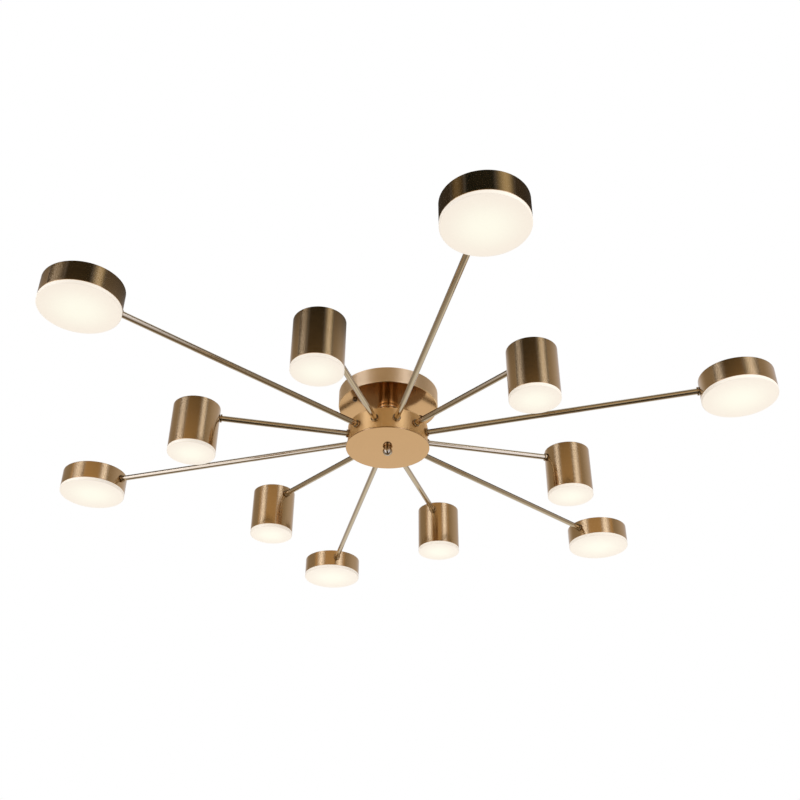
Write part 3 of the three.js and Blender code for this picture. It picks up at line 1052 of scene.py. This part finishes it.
def studio_piece(name, shape, material, place=Matrix.Identity(4)):
    """An object of the studio, which isn't part of the light."""
    mesh = bpy.data.meshes.new(name)
    shape.to_mesh(mesh)
    shape.free()
    mesh.materials.append(material)
    made = bpy.data.objects.new(name, mesh)
    made.matrix_world = place
    bpy.context.scene.collection.objects.link(made)
    return made


def disc(radius, segments):
    """A flat round shape."""
    shape = bmesh.new()
    bmesh.ops.create_circle(shape, cap_ends=True, segments=segments, radius=radius)
    return shape


def show(tree, shader):
    """Takes a shader as the surface of a material or the world."""
    end = next(node for node in tree.nodes if node.bl_idname.startswith("ShaderNodeOutput"))
    tree.links.new(shader, end.inputs["Surface"])


def mix_shaders(tree, factor, first, second):
    return add_node(tree, "ShaderNodeMixShader", {0: factor, 1: first, 2: second}).outputs[0]


def make_floor(studio):
    """A pale round floor, well below the light. Mirrors see it white, and from its underside it
    is clear."""
    shape = disc(14.0, segments=64)
    bmesh.ops.translate(shape, verts=shape.verts, vec=(0, 0, -studio.floor_depth))
    material, tree, shader = start_material("pale_floor")
    clouds = noise(tree, object_place(tree), 1.5, 3.0)
    fill(tree, shader, {"Base Color": toned(tree, studio.floor, 0.985, clouds), "Roughness": 0.7})
    rays = add_node(tree, "ShaderNodeLightPath").outputs
    mirrored = math_node(tree, "ADD", rays["Is Glossy Ray"], rays["Is Transmission Ray"], clamp=True)
    white = add_node(tree, "ShaderNodeEmission", {"Color": (1.0, 0.99, 0.975, 1.0), "Strength": 1.0})
    above = mix_shaders(tree, mirrored, shader.outputs[0], white.outputs[0])
    clear = add_node(tree, "ShaderNodeBsdfTransparent").outputs[0]
    below = add_node(tree, "ShaderNodeNewGeometry").outputs["Backfacing"]
    show(tree, mix_shaders(tree, below, above, clear))
    floor = studio_piece("floor", shape, material)


def start_cloth(name):
    """The nodes of a cloth's material, with no shader yet."""
    _, tree, shader = start_material(name)
    tree.nodes.remove(shader)
    return tree


def hang_cloth(name, shape, tree, tint, shown, place=Matrix.Identity(4)):
    """Hangs up a cloth that gives its own light and that is seen only in mirroring surfaces."""
    light = add_node(tree, "ShaderNodeEmission", {"Color": tint, "Strength": 1.0})
    clear = add_node(tree, "ShaderNodeBsdfTransparent")
    show(tree, mix_shaders(tree, shown, clear.outputs[0], light.outputs[0]))
    material = bpy.data.materials[name]
    material.cycles.emission_sampling = "NONE"
    cloth = studio_piece(name, shape, material, place)
    for ray in ("camera", "diffuse", "shadow", "transmission", "volume_scatter"):
        setattr(cloth, f"visible_{ray}", False)


def level_edge(shape, height):
    """A level edge across the plane of a panel."""
    ends = [(side, -PANEL_REACH, height) for side in (-PANEL_SIDE, PANEL_SIDE)]
    return shape.edges.new([shape.verts.new(end) for end in ends])


def panel_mask(tree, height, width, soft):
    """1 on a panel and 0 past its soft edges. Its foot narrows towards the light."""
    across, along, _ = parts_of(tree, object_place(tree))
    spread = math_node(tree, "DIVIDE", across, math_node(tree, "MULTIPLY", along, -1 / PANEL_REACH))
    upper = between(tree, height, PANEL_TOP, PANEL_TOP - 0.8)
    ends = math_node(tree, "MULTIPLY", upper, between(tree, along, -0.6, -1.2))
    return math_node(tree, "MULTIPLY", band(tree, spread, -width, width, soft), ends)


def make_panel(name, tint, shade, angle, width, soft):
    """Tall bright cloth near the light, which runs on along the floor towards it. Dimmer slats
    across its upper part hide it from whatever sees it steeply."""
    place = Matrix.Rotation(math.radians(angle), 4, "Z")
    sheet = bmesh.new()
    foot = draw_out(sheet, [level_edge(sheet, PANEL_TOP)], (0, 0, PANEL_FOOT - PANEL_TOP))
    draw_out(sheet, foot, (0, PANEL_RUN, 0))
    tree = start_cloth(name)
    height = parts_of(tree, object_place(tree))[2]
    mask = panel_mask(tree, height, width, soft)
    shown = math_node(tree, "MULTIPLY", mask, between(tree, height, -0.4, 0.0, 0.72, 1.0))
    hang_cloth(name, sheet, tree, solid(tint), shown, place)

    slats = bmesh.new()
    count = round(PANEL_TOP / SLAT_PITCH)
    fronts = [level_edge(slats, number * SLAT_PITCH) for number in range(count)]
    draw_out(slats, fronts, (0, SLAT_DEPTH, -SLAT_DROP))
    tree = start_cloth(f"{name}_slats")
    mask = panel_mask(tree, parts_of(tree, object_place(tree))[2], width, soft)
    tone = mix_colours(tree, mask, (0.0, 0.0, 0.0), shade)
    hang_cloth(f"{name}_slats", slats, tree, tone, between(tree, mask, 0.0, 0.12), place)


def make_wide_mat(studio):
    """Brown cloth on the floor in front and at the sides, paler in front."""
    tree = start_cloth("wide_mat")
    away, distance, _ = around_axis(tree, object_place(tree))
    facing = CLOTH_TURN + math.radians(20)
    forward = vector_of(tree, math.sin(facing), math.cos(facing))
    behind = vector_node(tree, "DOT_PRODUCT", away, forward, output="Value")
    sideways = between(tree, behind, -0.85, -0.55)
    tone = mix_colours(tree, sideways, (0.66, 0.61, 0.53), (0.46, 0.41, 0.35))
    edge = between(tree, distance, TENT_RADIUS, TENT_RADIUS - 0.5)
    shown = math_node(tree, "MULTIPLY", between(tree, behind, 0.80, 0.45), edge)
    place = Matrix.Translation((0, 0, 0.03 - studio.floor_depth))
    hang_cloth("wide_mat", disc(TENT_RADIUS, segments=48), tree, tone, shown, place)


def make_round_mat(studio):
    """Dark round cloth on the wide mat, under the light."""
    tree = start_cloth("round_mat")
    _, distance, _ = around_axis(tree, object_place(tree))
    shown = between(tree, distance, 2.6, 1.1)
    place = Matrix.Translation((0, 0, 0.04 - studio.floor_depth))
    hang_cloth("round_mat", disc(2.7, segments=48), tree, solid((0.25, 0.19, 0.13)), shown, place)


def make_runner(studio):
    """Nearly black cloth on the mats, from under the light towards the camera."""
    tree = start_cloth("front_runner")
    x, y, _ = parts_of(tree, object_place(tree))
    across = band(tree, x, -0.42, 0.42, 0.12)
    along = band(tree, y, -1.6, 1.75, 0.25)
    tone = mix_colours(tree, across, (0.10, 0.06, 0.03), (0.03, 0.02, 0.01))
    shape = bmesh.new()
    bmesh.ops.create_grid(shape, x_segments=2, y_segments=2, size=2.7)
    place = Matrix.Rotation(-CLOTH_TURN, 4, "Z") @ Matrix.Translation((0, -1.9, 0.05 - studio.floor_depth))
    hang_cloth("front_runner", shape, tree, tone, math_node(tree, "MULTIPLY", across, along), place)


def make_tent(studio):
    """Wide cloth tent round the light, with the dark opening that the camera looks through.
    Angles are degrees, round from the camera's side and up from level."""
    tree = start_cloth("tent")
    turned = add_node(tree, "ShaderNodeMapping", {0: object_place(tree), 2: (0, 0, CLOTH_TURN)})
    x, y, z = parts_of(tree, vector_node(tree, "NORMALIZE", turned.outputs[0]))
    degrees = math.degrees(1)
    back = math_node(tree, "MULTIPLY", y, -1.0)
    around = math_node(tree, "MULTIPLY", math_node(tree, "ARCTAN2", x, back), degrees)
    height = math_node(tree, "MULTIPLY", math_node(tree, "ARCSINE", z), degrees)

    rightwards = between(tree, around, 55.0, 115.0)
    backwards = between(tree, math_node(tree, "ABSOLUTE", around), 120.0, 165.0)
    sides = mix_colours(tree, rightwards, (0.41, 0.35, 0.29), (0.66, 0.62, 0.64))
    sides = mix_colours(tree, backwards, sides, (0.76, 0.74, 0.78))
    low_back = between(tree, height, 37.8, 34.2)
    cloth = mix_colours(tree, low_back, (0.05, 0.043, 0.035), sides)
    low_front = between(tree, height, 33.5, 26.0)
    opening = mix_colours(tree, low_front, studio.opening, (0.70, 0.51, 0.31))
    front = band(tree, around, -79.0, 57.0, 6.0)
    overhead = between(tree, height, 50.0, 66.0)
    tone = mix_colours(tree, overhead, mix_colours(tree, front, cloth, opening), (0.66, 0.62, 0.57))

    shape = bmesh.new()
    bmesh.ops.create_icosphere(shape, subdivisions=5, radius=TENT_RADIUS)
    hang_cloth("tent", shape, tree, tone, between(tree, height, -9.5, -8.5))


def make_room(studio):
    """Even light from all round, and a white room for the camera and for mirroring surfaces."""
    world = bpy.data.worlds.new("room")
    world.use_nodes = True
    bpy.context.scene.world = world
    tree = world.node_tree
    level = tree.nodes["Background"]
    fill(tree, level, {"Color": (1.0, 1.0, 1.0, 1.0), "Strength": studio.room_level})
    white = add_node(tree, "ShaderNodeBackground", {"Color": (1.0, 1.0, 1.0, 1.0), "Strength": 1.0})
    rays = add_node(tree, "ShaderNodeLightPath").outputs
    seen = math_node(tree, "ADD", rays["Is Camera Ray"], rays["Is Glossy Ray"])
    seen = math_node(tree, "ADD", seen, rays["Is Transmission Ray"], clamp=True)
    show(tree, mix_shaders(tree, seen, level.outputs[0], white.outputs[0]))


def make_lamp(name, location, watts):
    """A tall soft lamp that faces the light."""
    data = bpy.data.lights.new(name, "AREA")
    data.shape = "RECTANGLE"
    data.size, data.size_y = 0.36, 1.3
    data.energy = watts
    lamp = bpy.data.objects.new(name, data)
    bpy.context.scene.collection.objects.link(lamp)
    lamp.location = location
    level = Vector((-location[0], -location[1], 0.0))
    lamp.rotation_euler = level.to_track_quat("-Z", "Y").to_euler()
    lamp.visible_camera = False
    lamp.visible_glossy = False


def make_camera(studio):
    """Looks up at the light from in front of it and below."""
    data = bpy.data.cameras.new("camera")
    data.lens = studio.lens
    data.shift_x, data.shift_y = 0.01225, -0.01225
    camera = bpy.data.objects.new("camera", data)
    bpy.context.scene.collection.objects.link(camera)
    place = Matrix.Translation((-0.2876, -1.3839, -0.9066))
    heading = Matrix.Rotation(math.radians(-11.86), 4, "Z")
    pitch = Matrix.Rotation(math.radians(90 + 32.94), 4, "X")
    roll = Matrix.Rotation(math.radians(0.76), 4, "Z")
    camera.matrix_world = place @ heading @ pitch @ roll
    bpy.context.scene.camera = camera


# ---- panel and registration

OPERATORS = (
    LIGHT_OT_studio,
    LIGHT_OT_canopy,
    LIGHT_OT_canopy_screws,
    LIGHT_OT_stem,
    LIGHT_OT_hub,
    LIGHT_OT_finial,
    LIGHT_OT_arms,
    LIGHT_OT_disc_shades,
    LIGHT_OT_cylinder_shades,
    LIGHT_OT_diffusers,
    LIGHT_OT_fittings,
)


class LIGHT_PT_parts(bpy.types.Panel):
    """Lists the settings and the operators"""

    bl_label = "Ceiling Light"
    bl_idname = "LIGHT_PT_parts"
    bl_space_type = "VIEW_3D"
    bl_region_type = "UI"
    bl_category = "Ceiling Light"

    def draw(self, context):
        for field, group in SETTINGS.items():
            box = self.layout.box()
            box.label(text=group.__doc__)
            for name in group.__annotations__:
                box.prop(getattr(context.scene, field), name)
        for operator in OPERATORS:
            self.layout.operator(operator.bl_idname)


CLASSES = (*SETTINGS.values(), *OPERATORS, LIGHT_PT_parts)


def register():
    for made in CLASSES:
        bpy.utils.register_class(made)
    for field, group in SETTINGS.items():
        setattr(bpy.types.Scene, field, PointerProperty(type=group))


def unregister():
    for field in SETTINGS:
        delattr(bpy.types.Scene, field)
    for made in reversed(CLASSES):
        bpy.utils.unregister_class(made)


def main():
    register()
    for operator in OPERATORS:
        area, name = operator.bl_idname.split(".")
        getattr(getattr(bpy.ops, area), name)()


if __name__ == "__main__":
    main()
